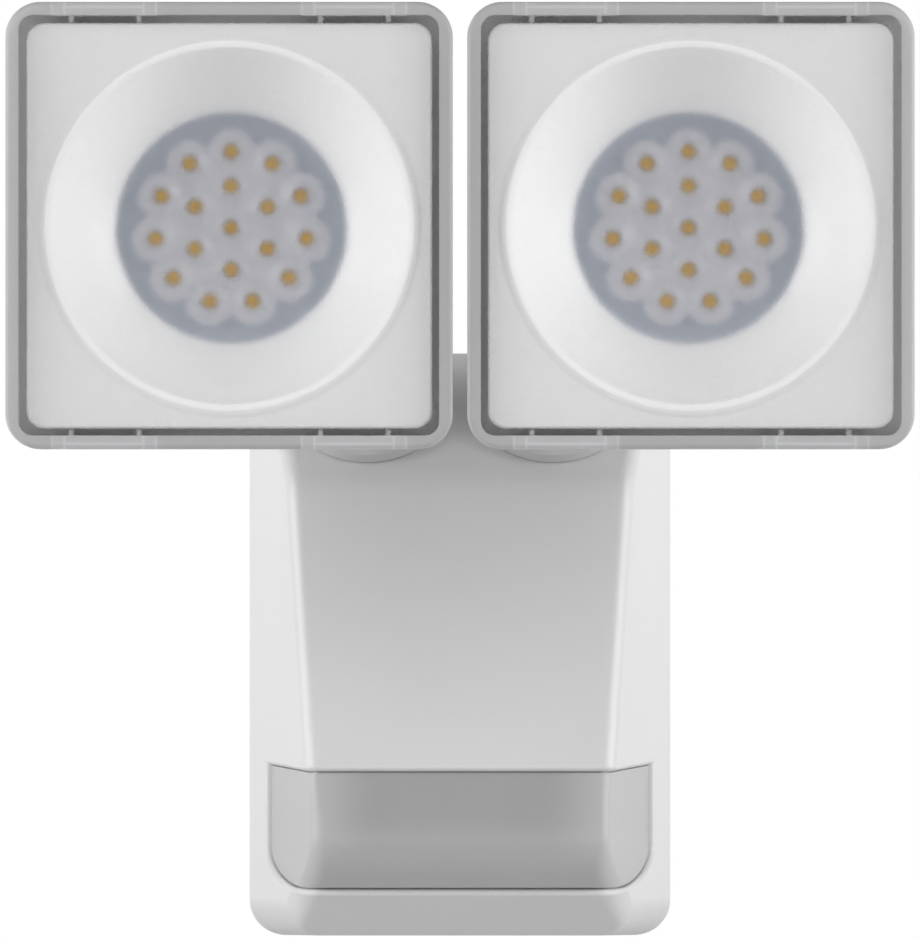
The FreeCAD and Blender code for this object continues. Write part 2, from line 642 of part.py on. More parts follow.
def make_arm():
    """Foot, bent tube and shoulder in one casting, drilled for the head's wires from both ends."""
    shoulder_end = SLEEVE_START - FACE_GAP - WASHER_THICKNESS
    shoulder = tilt_rod(SHOULDER_RADIUS, shoulder_end - SHOULDER_LENGTH, shoulder_end)
    arm = make_arm_foot().multiFuse([arm_tube(FOOT_HEIGHT - 1, SPIGOT_END), shoulder])
    neck_bore = swivel_cylinder(WIRE_BORE_RADIUS, -STEM_LENGTH - 1, NECK_LENGTH - 4)
    spigot_bore = tilt_rod(WIRE_BORE_RADIUS, SWIVEL_X + 4, SPIGOT_END + 1)
    outlet = Part.makeCylinder(3.0, 12, FreeCAD.Vector(HEAD_X, ELBOW_POINT.y, ELBOW_POINT.z), -Y_AXIS)
    seal_groove = swivel_cylinder(SEAL_OUTER + 0.1, 0, 2.2).cut(swivel_cylinder(SEAL_INNER - 0.1, 0, 2.2))
    return arm.cut([neck_bore, spigot_bore, outlet, seal_groove])


def make_swivel_seal():
    """The flat rubber ring under the flange, in its groove."""
    return swivel_cylinder(SEAL_OUTER, RUNNING_GAP, 2.1).cut(swivel_cylinder(SEAL_INNER, 0, 3))


def make_swivel_nut():
    """A hexagon nut on the stem, under the washer."""
    low = -SEAT_LENGTH - FACE_GAP - WASHER_THICKNESS - NUT_HEIGHT
    points = []
    for index in range(6):
        turn = math.radians(60 * index)
        side = X_AXIS * math.cos(turn) + X_AXIS.cross(ROOF_NORMAL) * math.sin(turn)
        points.append(SWIVEL_POINT + side * NUT_CORNER_RADIUS + ROOF_NORMAL * low)
    nut = Part.Face(Part.makePolygon(points + points[:1])).extrude(ROOF_NORMAL * NUT_HEIGHT)
    return nut.cut(swivel_cylinder(STEM_RADIUS, low - 1, 0))


def make_arms():
    save_pair("swivel_arm", make_arm())
    save_pair("swivel_seal", make_swivel_seal())
    washer_high = -SEAT_LENGTH - FACE_GAP
    washer = swivel_cylinder(12.5, washer_high - WASHER_THICKNESS, washer_high)
    save_pair("swivel_washer", washer.cut(swivel_cylinder(STEM_RADIUS, -40, 0)))
    save_pair("swivel_nut", make_swivel_nut())
    washer_start = SLEEVE_START - FACE_GAP - WASHER_THICKNESS
    tilt_washer = tilt_rod(CAP_RADIUS, washer_start, washer_start + WASHER_THICKNESS)
    save_pair("tilt_washer", tilt_washer.cut(tilt_rod(TUBE_RADIUS, washer_start - 1, washer_start + 2)))
    cap = tilt_rod(CAP_RADIUS, SLEEVE_END + FACE_GAP, SPIGOT_END + 1.6)
    save_pair("tilt_cap", cap.cut(tilt_rod(TUBE_RADIUS, SLEEVE_END, SPIGOT_END)))


# ---- heads ----


def clip_places():
    """The four snap clips: left and right of the middle, at the top and at the bottom."""
    for x in (HEAD_X - CLIP_X, HEAD_X + CLIP_X):
        for way in (-1, 1):
            yield x, way


def between(a, b):
    return (min(a, b), max(a, b))


def make_casing():
    """The head's back: a box with a flange, clips, a tapered back with fins, and the sleeve it tilts on."""
    flange_rear = COVER_REAR_DEPTH - CASING_FLANGE
    flange = square_slab(HEAD_SIZE, HEAD_CORNER, (flange_rear, COVER_REAR_DEPTH))
    box = square_slab(CASING_BOX_SIZE, HEAD_CORNER - 1.5, (CASING_BOX_DEPTH, flange_rear))
    front_half = CASING_BOX_SIZE / 2
    rear_half = CASING_REAR_SIZE / 2
    taper = Part.makeWedge(
        HEAD_X - front_half,
        -CASING_BOX_DEPTH,
        HEAD_LEVEL - front_half,
        HEAD_LEVEL - rear_half,
        HEAD_X - rear_half,
        HEAD_X + front_half,
        -CASING_REAR_DEPTH,
        HEAD_LEVEL + front_half,
        HEAD_LEVEL + rear_half,
        HEAD_X + rear_half,
    )
    slanted = [edge for edge in taper.Edges if edge.BoundBox.YLength > 1 and edge.BoundBox.XLength > 1]
    taper = taper.makeFillet(HEAD_CORNER - 1.5, slanted)
    pieces = [box, taper, make_sleeve()]
    for index in range(FIN_COUNT):
        pieces.append(make_fin(HEAD_X + FIN_PITCH * (index - (FIN_COUNT - 1) / 2)))
    for x, way in clip_places():
        pieces += make_clip(x, way)
    casing = flange.multiFuse(pieces)
    floor_depth = LED_BOARD_DEPTH - BOARD_THICKNESS
    pocket = square_slab(POCKET_SIZE, 2.8, (floor_depth, COVER_REAR_DEPTH + 1))
    bore_base = FreeCAD.Vector(SLEEVE_START - 20, ELBOW_POINT.y, ELBOW_POINT.z)
    bore = Part.makeCylinder(TUBE_RADIUS + RUNNING_GAP, SLEEVE_LENGTH + 40, bore_base, X_AXIS)
    wire_way = Part.makeCylinder(3.0, 40, FreeCAD.Vector(HEAD_X, ELBOW_POINT.y, ELBOW_POINT.z), -Y_AXIS)
    return casing.cut([pocket, bore, wire_way])


def make_clip(x, way):
    """A snap clip at one edge of the flange, with two ribs on its inner side."""
    outer = HEAD_LEVEL + way * (HEAD_SIZE / 2 - 0.15)
    inner = outer - way * CLIP_THICKNESS
    depths = (COVER_REAR_DEPTH - 1, CLIP_DEPTH)
    pieces = [block((x - CLIP_WIDTH / 2, x + CLIP_WIDTH / 2), depths, between(inner, outer))]
    rib_end = HEAD_LEVEL + way * (REFLECTOR_SIZE / 2 + FACE_GAP)
    rib_depths = (COVER_REAR_DEPTH + 3.3, CLIP_DEPTH - 2)
    for rib_x in (x - CLIP_RIB_X, x + CLIP_RIB_X):
        across = (rib_x - CLIP_RIB_WIDTH / 2, rib_x + CLIP_RIB_WIDTH / 2)
        pieces.append(block(across, rib_depths, between(rib_end, inner + way * 0.2)))
    return pieces


def make_fin(x):
    """An upright cooling fin with slanted ends."""
    corners = [(CASING_REAR_DEPTH + 1, 34), (FIN_DEPTH, 28), (FIN_DEPTH, -28), (CASING_REAR_DEPTH + 1, -34)]
    points = [at(x - FIN_THICKNESS / 2, depth, HEAD_LEVEL + level) for depth, level in corners]
    return Part.Face(Part.makePolygon(points + points[:1])).extrude(X_AXIS * FIN_THICKNESS)


def make_sleeve():
    """The level sleeve behind the head, on a web that widens to the casing."""
    base = FreeCAD.Vector(SLEEVE_START, ELBOW_POINT.y, ELBOW_POINT.z)
    sleeve = Part.makeCylinder(SLEEVE_RADIUS, SLEEVE_LENGTH, base, X_AXIS)
    tilt_depth = -ELBOW_POINT.y
    corners = [(tilt_depth, 9), (tilt_depth, -9), (CASING_REAR_DEPTH + 1, -15), (CASING_REAR_DEPTH + 1, 15)]
    points = [at(SLEEVE_START + 3, depth, ELBOW_POINT.z + level) for depth, level in corners]
    web = Part.Face(Part.makePolygon(points + points[:1])).extrude(X_AXIS * (SLEEVE_LENGTH - 6))
    return sleeve.fuse(web)


def make_cover():
    """The frosted cover: a pane with a round front edge and a skirt, notched for the clips."""
    outer = square_slab(HEAD_SIZE, HEAD_CORNER, (COVER_REAR_DEPTH, COVER_FRONT_DEPTH))
    front_edges = [edge for edge in outer.Edges if edge.BoundBox.YMax < 0.01 - COVER_FRONT_DEPTH]
    outer = outer.makeFillet(COVER_EDGE_RADIUS, front_edges)
    inner_size = HEAD_SIZE - 2 * COVER_SKIRT
    hollow_depths = (COVER_REAR_DEPTH - 1, COVER_FRONT_DEPTH - COVER_PANE)
    cuts = [square_slab(inner_size, COVER_INNER_CORNER, hollow_depths)]
    for x, way in clip_places():
        half_width = CLIP_WIDTH / 2 + 0.2
        levels = between(HEAD_LEVEL + way * (inner_size / 2 - 1), HEAD_LEVEL + way * (HEAD_SIZE / 2 + 1))
        cuts.append(block((x - half_width, x + half_width), (COVER_REAR_DEPTH - 1, CLIP_DEPTH + 0.2), levels))
    return outer.cut(cuts)


def make_gasket():
    """The silicone ring between the flange and the cover's skirt."""
    depths = (COVER_REAR_DEPTH, COVER_REAR_DEPTH + 3)
    outer = square_slab(HEAD_SIZE - 2 * COVER_SKIRT, COVER_INNER_CORNER, depths)
    return outer.cut(square_slab(REFLECTOR_SIZE + 0.4, REFLECTOR_CORNER, depths))


def make_reflector():
    """White plate with a round bead and a bowl down to the board, and a skirt that stands in the casing."""

    face_depth = PLATE_FACE_DEPTH
    rear_depth = face_depth - REFLECTOR_WALL
    crest_depth = face_depth + BEAD_HEIGHT
    mouth_depth = face_depth - 0.7
    waist_depth = LED_BOARD_DEPTH + BOWL_WAIST_HEIGHT
    profile = [
        (BOWL_FLOOR, LED_BOARD_DEPTH),
        ((BOWL_FLOOR + BOWL_WAIST) / 2 + 0.8, waist_depth - 4.0),
        (BOWL_WAIST, waist_depth),
        ((BOWL_MOUTH + BOWL_WAIST) / 2 + 0.4, waist_depth + 4.2),
        (BOWL_MOUTH, mouth_depth),
        (BEAD_CREST - 0.8, crest_depth - 0.3),
        (BEAD_CREST, crest_depth),
        (BEAD_CREST + 0.9, crest_depth - 0.3),
        (BEAD_FOOT, face_depth),
        (BEAD_FOOT, rear_depth),
        (BOWL_MOUTH + REFLECTOR_WALL, rear_depth),
        (BOWL_FLOOR + 9, LED_BOARD_DEPTH + 5),
        (BOWL_FLOOR + REFLECTOR_WALL, LED_BOARD_DEPTH),
    ]
    points = [at(HEAD_X + radius, depth, HEAD_LEVEL) for radius, depth in profile]
    face = Part.Face(Part.makePolygon(points + points[:1]))
    bowl = face.revolve(at(HEAD_X, 0, HEAD_LEVEL), Y_AXIS, 360)
    plate = square_slab(REFLECTOR_SIZE, REFLECTOR_CORNER, (rear_depth, face_depth))
    skirt_rear = LED_BOARD_DEPTH - BOARD_THICKNESS + FACE_GAP
    skirt = square_slab(REFLECTOR_SKIRT_SIZE, 2.5, (skirt_rear, face_depth - 0.5))
    hollow_size = REFLECTOR_SKIRT_SIZE - 2 * REFLECTOR_WALL
    skirt = skirt.cut(square_slab(hollow_size, 1.3, (skirt_rear - 1, rear_depth)))
    plate = plate.fuse(skirt).cut(forward_rod(BEAD_FOOT - 0.5, HEAD_X, (90, 125), HEAD_LEVEL))
    return plate.fuse(bowl)


def led_places():
    """The rings of lamps, each ring starting at the top."""
    for count, radius in LED_RINGS:
        for index in range(count):
            turn = 2 * math.pi * index / count
            yield HEAD_X + radius * math.sin(turn), HEAD_LEVEL + radius * math.cos(turn)


def make_leds():
    half = LED_SIZE / 2
    depths = (LED_BOARD_DEPTH, LED_BOARD_DEPTH + LED_HEIGHT)
    return Part.makeCompound(
        [block((x - half, x + half), depths, (level - half, level + half)) for x, level in led_places()]
    )


def make_lens_sheet():
    """A clear sheet over the lamps, its edge lobed round the outer ring."""
    count, radius = LED_RINGS[-1]
    depths = (LED_BOARD_DEPTH + LED_HEIGHT, LED_BOARD_DEPTH + LED_HEIGHT + LENS_THICKNESS)
    outer_places = list(led_places())[-count:]
    petals = [forward_rod(PETAL_RADIUS, x, depths, level) for x, level in outer_places]
    return forward_rod(radius, HEAD_X, depths, HEAD_LEVEL).multiFuse(petals).removeSplitter()


def make_heads():
    save_pair("head_casing", make_casing())
    save_pair("front_cover", make_cover())
    save_pair("cover_gasket", make_gasket())
    save_pair("reflector", make_reflector())
    board_rear = LED_BOARD_DEPTH - BOARD_THICKNESS
    save_pair("led_board", forward_rod(LED_BOARD_RADIUS, HEAD_X, (board_rear, LED_BOARD_DEPTH), HEAD_LEVEL))
    save_pair("led_chips", make_leds())
    save_pair("lens_sheet", make_lens_sheet())


os.makedirs("parts", exist_ok=True)
make_body()
make_arms()
make_heads()
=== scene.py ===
import bmesh
import bpy
import math
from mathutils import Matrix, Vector


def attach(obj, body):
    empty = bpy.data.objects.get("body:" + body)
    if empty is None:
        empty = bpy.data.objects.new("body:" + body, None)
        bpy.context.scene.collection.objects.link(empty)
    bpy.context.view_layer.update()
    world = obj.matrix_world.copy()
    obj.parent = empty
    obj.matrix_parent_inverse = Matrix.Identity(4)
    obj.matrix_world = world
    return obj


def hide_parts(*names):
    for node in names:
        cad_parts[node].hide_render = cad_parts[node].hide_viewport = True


# Twin-head wall light with a motion sensor. Metres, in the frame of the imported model.
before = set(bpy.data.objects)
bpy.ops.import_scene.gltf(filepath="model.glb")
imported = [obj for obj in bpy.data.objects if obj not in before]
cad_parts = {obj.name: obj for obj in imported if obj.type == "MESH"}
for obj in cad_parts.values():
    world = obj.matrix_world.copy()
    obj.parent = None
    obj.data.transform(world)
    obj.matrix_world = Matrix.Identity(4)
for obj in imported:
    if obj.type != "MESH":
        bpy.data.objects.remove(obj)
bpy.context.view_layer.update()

# ---- camera ----
# A long lens, straight in front of the light and a little above the middle of the body,
# so the side faces of the body show only as far as they draw in.
CAMERA_DISTANCE = 1.700
CAMERA_LEVEL = 0.0406

camera_data = bpy.data.cameras.new("camera")
camera_data.sensor_fit = "HORIZONTAL"
camera_data.sensor_width = 36.0
camera_data.lens = 287.5
camera_data.clip_end = 20.0
camera = bpy.data.objects.new("camera", camera_data)
camera.location = (0.0, -CAMERA_DISTANCE, CAMERA_LEVEL)
camera.rotation_euler = (math.radians(90), 0.0, 0.0)
bpy.context.collection.objects.link(camera)
bpy.context.scene.camera = camera

# ---- studio: room light, lamps and floor ----
# A white tent with a soft lamp low at each side, one high at each front corner, a small one low in
# front, one behind, and a pale floor below the light. The tent is white to the camera, in
# reflections and through the covers, and only a faint fill on everything else.
TENT_FILL = 0.06
LIGHT_MIDDLE = Vector((0.0, -0.05, 0.04))
LARGE_LAMP = 0.9
SMALL_LAMP = 0.3
FLOOR_LEVEL = -0.12
FLOOR_HALF_WIDTH = 0.7
FLOOR_FRONT = -0.8
FLOOR_REAR = 0.6

world = bpy.data.worlds.new("tent")
bpy.context.scene.world = world
world.use_nodes = True
tent = world.node_tree.nodes
tent_link = world.node_tree.links.new
tent.clear()
tent_out = tent.new("ShaderNodeOutputWorld")
tent_mix = tent.new("ShaderNodeMixShader")
tent_fill = tent.new("ShaderNodeBackground")
tent_fill.inputs["Color"].default_value = (0.97, 0.98, 1.0, 1.0)
tent_fill.inputs["Strength"].default_value = TENT_FILL
tent_white = tent.new("ShaderNodeBackground")
tent_white.inputs["Color"].default_value = (1.0, 1.0, 1.0, 1.0)
tent_white.inputs["Strength"].default_value = 1.0
tent_path = tent.new("ShaderNodeLightPath")
seen_or_mirrored = tent.new("ShaderNodeMath")
seen_or_mirrored.operation = "MAXIMUM"
seen_or_through = tent.new("ShaderNodeMath")
seen_or_through.operation = "MAXIMUM"
tent_link(tent_path.outputs["Is Camera Ray"], seen_or_mirrored.inputs[0])
tent_link(tent_path.outputs["Is Glossy Ray"], seen_or_mirrored.inputs[1])
tent_link(seen_or_mirrored.outputs[0], seen_or_through.inputs[0])
tent_link(tent_path.outputs["Is Transmission Ray"], seen_or_through.inputs[1])
tent_link(seen_or_through.outputs[0], tent_mix.inputs[0])
tent_link(tent_fill.outputs[0], tent_mix.inputs[1])
tent_link(tent_white.outputs[0], tent_mix.inputs[2])
tent_link(tent_mix.outputs[0], tent_out.inputs["Surface"])
bpy.context.scene.view_settings.view_transform = "Standard"


def softbox(name, place, size, watts):
    """A square lamp that faces the middle of the light."""
    data = bpy.data.lights.new(name, "AREA")
    data.shape = "SQUARE"
    data.size = size
    data.energy = watts
    lamp = bpy.data.objects.new(name, data)
    lamp.location = place
    lamp.visible_camera = False
    lamp.rotation_euler = (LIGHT_MIDDLE - Vector(place)).to_track_quat("-Z", "Y").to_euler()
    bpy.context.collection.objects.link(lamp)


for hand in (-1, 1):
    softbox("lamp_side", (1.35 * hand, -0.25, 0.0), LARGE_LAMP, watts=9.1)
    softbox("lamp_corner", (1.20 * hand, -0.78, 0.55), LARGE_LAMP, watts=10.2)
softbox("lamp_front", (0.0, -1.55, -0.12), SMALL_LAMP, watts=2.2)
softbox("lamp_rear", (0.0, 1.30, 0.10), LARGE_LAMP, watts=7.0)

floor_mesh = bpy.data.meshes.new("floor")
floor_corners = [
    (-FLOOR_HALF_WIDTH, FLOOR_FRONT, FLOOR_LEVEL),
    (FLOOR_HALF_WIDTH, FLOOR_FRONT, FLOOR_LEVEL),
    (FLOOR_HALF_WIDTH, FLOOR_REAR, FLOOR_LEVEL),
    (-FLOOR_HALF_WIDTH, FLOOR_REAR, FLOOR_LEVEL),
]
floor_mesh.from_pydata(floor_corners, [], [(0, 1, 2, 3)])
floor = bpy.data.objects.new("floor", floor_mesh)
bpy.context.collection.objects.link(floor)
floor_paint = bpy.data.materials.new("floor_paint")
floor_paint.use_nodes = True
floor_nodes = floor_paint.node_tree.nodes
floor_link = floor_paint.node_tree.links.new
floor_skin = floor_nodes["Principled BSDF"]
floor_skin.inputs["Base Color"].default_value = (0.89, 0.89, 0.90, 1.0)
floor_skin.inputs["Roughness"].default_value = 0.8
# From below, the camera looks through the floor, so that the underside can be seen too.
floor_side = floor_nodes.new("ShaderNodeNewGeometry")
floor_path = floor_nodes.new("ShaderNodeLightPath")
seen_from_below = floor_nodes.new("ShaderNodeMath")
seen_from_below.operation = "MULTIPLY"
floor_link(floor_side.outputs["Backfacing"], seen_from_below.inputs[0])
floor_link(floor_path.outputs["Is Camera Ray"], seen_from_below.inputs[1])
floor_open = floor_nodes.new("ShaderNodeBsdfTransparent")
floor_mix = floor_nodes.new("ShaderNodeMixShader")
floor_link(seen_from_below.outputs[0], floor_mix.inputs[0])
floor_link(floor_skin.outputs[0], floor_mix.inputs[1])
floor_link(floor_open.outputs[0], floor_mix.inputs[2])
floor_link(floor_mix.outputs[0], floor_nodes["Material Output"].inputs["Surface"])
floor_mesh.materials.append(floor_paint)

# ---- body housing ----
# The main shell, a single moulding in white weatherproof plastic with a semi-gloss surface and
# a very fine spark-eroded texture. Two screws from below hold it on the wall plate.
FLOW_SCALE = 22.0
FLOW_SHADE = 0.965
GLOSSIER = 0.04
DULLER = 0.05


def moulded(name, colour, roughness, grain_size, grain_depth, coat=0.0):
    """Moulded plastic: a faint tone change, a fine surface grain and slightly uneven gloss."""
    material = bpy.data.materials.new(name)
    material.use_nodes = True
    nodes = material.node_tree.nodes
    link = material.node_tree.links.new
    shader = nodes["Principled BSDF"]
    place = nodes.new("ShaderNodeTexCoord")
    flow = nodes.new("ShaderNodeTexNoise")
    flow.inputs["Scale"].default_value = FLOW_SCALE
    flow.inputs["Detail"].default_value = 3.0
    tone = nodes.new("ShaderNodeValToRGB")
    tone.color_ramp.elements[0].color = tuple(channel * FLOW_SHADE for channel in colour) + (1.0,)
    tone.color_ramp.elements[0].position = 0.3
    tone.color_ramp.elements[1].color = tuple(colour) + (1.0,)
    tone.color_ramp.elements[1].position = 0.7
    gloss = nodes.new("ShaderNodeMapRange")
    gloss.inputs["To Min"].default_value = roughness - GLOSSIER
    gloss.inputs["To Max"].default_value = roughness + DULLER
    grain = nodes.new("ShaderNodeTexNoise")
    grain.inputs["Scale"].default_value = 1.0 / grain_size
    grain.inputs["Detail"].default_value = 2.0
    bump = nodes.new("ShaderNodeBump")
    bump.inputs["Strength"].default_value = 0.35
    bump.inputs["Distance"].default_value = grain_depth
    link(place.outputs["Object"], flow.inputs["Vector"])
    link(place.outputs["Object"], grain.inputs["Vector"])
    link(flow.outputs["Fac"], tone.inputs["Fac"])
    link(flow.outputs["Fac"], gloss.inputs["Value"])
    link(tone.outputs["Color"], shader.inputs["Base Color"])
    link(gloss.outputs["Result"], shader.inputs["Roughness"])
    link(grain.outputs["Fac"], bump.inputs["Height"])
    link(bump.outputs["Normal"], shader.inputs["Normal"])
    shader.inputs["IOR"].default_value = 1.5
    shader.inputs["Coat Weight"].default_value = coat
    return material


def finish_node(node, material):
    """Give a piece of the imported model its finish."""
    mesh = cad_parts[node].data
    mesh.materials.clear()
    mesh.materials.append(material)


housing_white = moulded(
    "housing_white", (0.70, 0.70, 0.70), roughness=0.36, grain_size=0.0006, grain_depth=0.00002
)
finish_node("body_housing", housing_white)

# ---- sensor window ----
# A wrap-round panel in milky, slightly translucent plastic that lets heat rays through. It is
# semi-matt outside, and its inner face is moulded in lens segments. It snaps into its rebate.
# Where the painted shade over the sensor chamber lies, and its tone.
CHAMBER_HALF_WIDTH = 0.034
CHAMBER_FULL_SHADE_HALF_WIDTH = 0.018
CHAMBER_TOP = -0.036
CHAMBER_FOOT = -0.051
CHAMBER_PAINTED_SHADE = (0.72, 0.72, 0.725, 1.0)

window_milk = moulded(
    "window_milk", (0.50, 0.50, 0.505), roughness=0.42, grain_size=0.0004, grain_depth=0.00001
)
window_nodes = window_milk.node_tree.nodes
window_link = window_milk.node_tree.links.new
window_shader = window_nodes["Principled BSDF"]


def fade(value, start, end):
    """One where the value is at its start, nothing from its end on, with a soft change between."""
    step = window_nodes.new("ShaderNodeMapRange")
    step.interpolation_type = "SMOOTHSTEP"
    step.inputs["From Min"].default_value = start
    step.inputs["From Max"].default_value = end
    step.inputs["To Min"].default_value = 1.0
    step.inputs["To Max"].default_value = 0.0
    window_link(value, step.inputs["Value"])
    return step.outputs["Result"]


# Painted shade: the colour is darkened over the dark sensor chamber behind the panel, most near its
# top, standing in for the chamber showing faintly through.
window_place = window_nodes.new("ShaderNodeTexCoord")
window_axes = window_nodes.new("ShaderNodeSeparateXYZ")
window_link(window_place.outputs["Object"], window_axes.inputs[0])
sideways = window_nodes.new("ShaderNodeMath")
sideways.operation = "ABSOLUTE"
window_link(window_axes.outputs["X"], sideways.inputs[0])
shade_mask_over_chamber = window_nodes.new("ShaderNodeMath")
shade_mask_over_chamber.operation = "MULTIPLY"
window_link(fade(sideways.outputs[0], CHAMBER_FULL_SHADE_HALF_WIDTH, CHAMBER_HALF_WIDTH), shade_mask_over_chamber.inputs[0])
window_link(fade(window_axes.outputs["Z"], CHAMBER_TOP, CHAMBER_FOOT), shade_mask_over_chamber.inputs[1])
painted_chamber_shade = window_nodes.new("ShaderNodeMix")
painted_chamber_shade.data_type = "RGBA"
painted_chamber_shade.blend_type = "MULTIPLY"
painted_chamber_shade.inputs[7].default_value = CHAMBER_PAINTED_SHADE
window_link(shade_mask_over_chamber.outputs[0], painted_chamber_shade.inputs[0])
window_link(window_shader.inputs["Base Color"].links[0].from_socket, painted_chamber_shade.inputs[6])
window_link(painted_chamber_shade.outputs[2], window_shader.inputs["Base Color"])
window_shader.inputs["Subsurface Weight"].default_value = 0.35
window_shader.inputs["Subsurface Radius"].default_value = (1.0, 1.0, 1.0)
window_shader.inputs["Subsurface Scale"].default_value = 0.004
finish_node("sensor_window", window_milk)

# ---- wall plate ----
# The flat back plate that is screwed to the wall first: white moulded plastic, matt, with a
# stiffening rim, slots for the wall screws and two lugs for the housing screws.
plate_white = moulded(
    "plate_white", (0.74, 0.74, 0.74), roughness=0.5, grain_size=0.0008, grain_depth=0.00003
)
finish_node("wall_plate", plate_white)

# ---- wall gasket ----
# A strip of black closed-cell foam, cut as one ring and pressed into the rear rim of the housing.
# It closes the joint to the wall against rain.
foam_black = moulded(
    "foam_black", (0.035, 0.035, 0.037), roughness=0.85, grain_size=0.0007, grain_depth=0.00012
)
finish_node("wall_gasket", foam_black)

# ---- cable grommet ----
# A soft black rubber sleeve moulded with a groove that grips the edge of the plate's hole.
# The supply cable is pushed through its tapered nose.
rubber_black = moulded(
    "rubber_black", (0.028, 0.028, 0.030), roughness=0.62, grain_size=0.0005, grain_depth=0.00002
)
finish_node("cable_grommet", rubber_black)

# ---- terminal block ----
# Three clamp terminals in one off-white nylon moulding behind the driver board, where the
# supply cable ends. It is held on the wall plate.
nylon_white = moulded(
    "nylon_white", (0.70, 0.68, 0.62), roughness=0.45, grain_size=0.0008, grain_depth=0.00002
)
finish_node("terminal_block", nylon_white)

# ---- housing screws and board screws ----
# Zinc-plated steel screws with flat heads. Two go up through the underside into the plate's
# lugs, and four hold the driver board on its posts.
WEAR_SHADE = 0.75
POLISHED = 0.08
WORN = 0.12


def plated_metal(name, colour, roughness, wear_size):
    """Plated metal with a fine uneven polish."""
    material = bpy.data.materials.new(name)
    material.use_nodes = True
    nodes = material.node_tree.nodes
    link = material.node_tree.links.new
    shader = nodes["Principled BSDF"]
    shader.inputs["Metallic"].default_value = 1.0
    place = nodes.new("ShaderNodeTexCoord")
    wear = nodes.new("ShaderNodeTexNoise")
    wear.inputs["Scale"].default_value = 1.0 / wear_size
    wear.inputs["Detail"].default_value = 5.0
    tone = nodes.new("ShaderNodeValToRGB")
    tone.color_ramp.elements[0].color = tuple(channel * WEAR_SHADE for channel in colour) + (1.0,)
    tone.color_ramp.elements[1].color = tuple(colour) + (1.0,)
    gloss = nodes.new("ShaderNodeMapRange")
    gloss.inputs["To Min"].default_value = roughness - POLISHED
    gloss.inputs["To Max"].default_value = roughness + WORN
    bump = nodes.new("ShaderNodeBump")
    bump.inputs["Strength"].default_value = 0.2
    bump.inputs["Distance"].default_value = 0.00001
    link(place.outputs["Object"], wear.inputs["Vector"])
    link(wear.outputs["Fac"], tone.inputs["Fac"])
    link(wear.outputs["Fac"], gloss.inputs["Value"])
    link(tone.outputs["Color"], shader.inputs["Base Color"])
    link(gloss.outputs["Result"], shader.inputs["Roughness"])
    link(wear.outputs["Fac"], bump.inputs["Height"])
    link(bump.outputs["Normal"], shader.inputs["Normal"])
    return material


zinc_steel = plated_metal("zinc_steel", (0.62, 0.62, 0.60), roughness=0.32, wear_size=0.0012)
finish_node("housing_screws", zinc_steel)
finish_node("board_screws", zinc_steel)

# ---- circuit boards and their components ----
# Green glass-fibre boards with a lacquer over the copper. The driver board carries a
# transformer, relay, suppressor and capacitors; the dial board carries three potentiometers.
board_green = moulded(
    "board_green", (0.02, 0.14, 0.05), roughness=0.3, grain_size=0.0012, grain_depth=0.00002
)
component_black = moulded(
    "component_black", (0.03, 0.03, 0.034), roughness=0.45, grain_size=0.0006, grain_depth=0.00002
)
for board in ("driver_board", "sensor_board", "control_board"):
    finish_node(board, board_green)
finish_node("driver_components", component_black)
finish_node("dial_potentiometers", component_black)

# ---- infrared sensor ----
# A round nickel-plated steel can with a dark filter in its face, soldered to the sensor board
# behind the window.
nickel = plated_metal("nickel", (0.66, 0.64, 0.58), roughness=0.28, wear_size=0.002)
finish_node("infrared_sensor", nickel)

# ---- setting dials ----
# Three small dark grey nylon knobs with a slot for a screwdriver, pressed on the shafts of the
# potentiometers. They set the time, the dusk level and the range.
dial_grey = moulded(
    "dial_grey", (0.055, 0.055, 0.06), roughness=0.42, grain_size=0.0005, grain_depth=0.00002
)
for dial in ("time_dial", "dusk_dial", "range_dial"):
    finish_node(dial, dial_grey)

# ---- swivel arms ----
# Bored elbow castings in aluminium with a satin white coating, drawn in a mid grey as painted shade
# from the heads above. The wide flange at the foot is the disc that shows on the roof, and the level
# end carries the head.
arm_shaded_coating = moulded(
    "arm_shaded_coating",
    (0.49, 0.49, 0.493),
    roughness=0.34,
    grain_size=0.0007,
    grain_depth=0.00003,
    coat=0.2,
)
washer_grey = moulded(
    "washer_grey", (0.60, 0.60, 0.61), roughness=0.45, grain_size=0.0005, grain_depth=0.00001
)
cap_white = moulded(
    "cap_white", (0.78, 0.78, 0.79), roughness=0.34, grain_size=0.0006, grain_depth=0.00002
)
for side in ("left", "right"):
    finish_node("swivel_arm_" + side, arm_shaded_coating)
    finish_node("swivel_seal_" + side, rubber_black)
    finish_node("swivel_washer_" + side, zinc_steel)
    finish_node("swivel_nut_" + side, zinc_steel)
    finish_node("tilt_washer_" + side, washer_grey)
    finish_node("tilt_cap_" + side, cap_white)

# ---- head casings ----
# Aluminium castings with upright cooling fins, a sleeve that turns on the arm and snap clips for
# the cover, coated satin white like the arms.
casing_coating = moulded(
    "casing_coating",
    (0.76, 0.76, 0.77),
    roughness=0.36,
    grain_size=0.0008,
    grain_depth=0.00004,
    coat=0.15,
)
gasket_grey = moulded(
    "gasket_grey", (0.40, 0.40, 0.403), roughness=0.6, grain_size=0.0006, grain_depth=0.00003
)
for side in ("left", "right"):
    finish_node("head_casing_" + side, casing_coating)
    finish_node("cover_gasket_" + side, gasket_grey)

